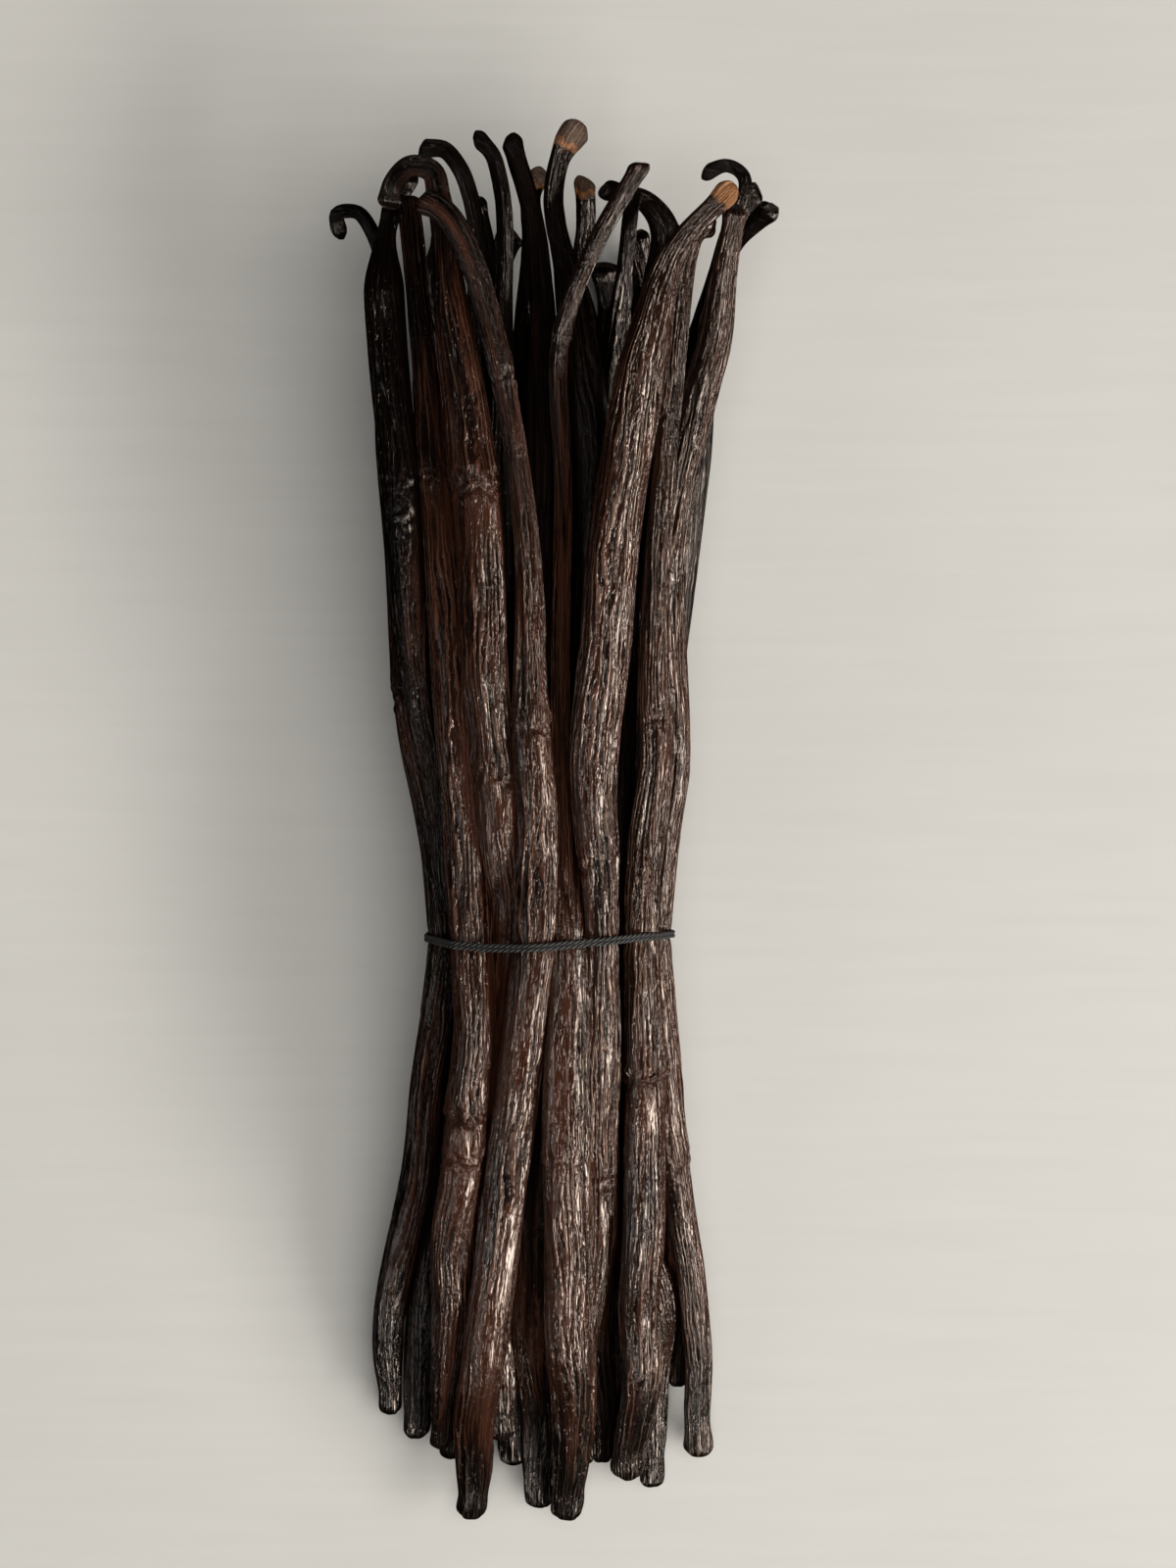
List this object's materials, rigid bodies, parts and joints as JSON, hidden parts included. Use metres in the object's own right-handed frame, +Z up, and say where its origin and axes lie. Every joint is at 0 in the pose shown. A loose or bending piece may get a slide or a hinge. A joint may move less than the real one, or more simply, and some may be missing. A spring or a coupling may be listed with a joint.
{
  "type": "bundle of vanilla pods",
  "caption": "Bundle of cured vanilla pods, long, thin and wrinkled, lying flat and tied once round the middle with a thin doubled cord.",
  "frame": {"origin": "on the surface the bundle lies on, under the middle of its bounding box", "axes": "+Y along the pods towards their stem ends, +Z up, +X to the right seen from above with the stem ends away"},
  "size_m": [0.0616, 0.1916, 0.0397],
  "materials": {
    "pod": "oily, wrinkled lengthwise, very dark brown",
    "cord": "twisted dark grey thread"
  },
  "bodies": {
    "root": {"pods": "pod", "tie": "cord"}
  },
  "joints": []
}
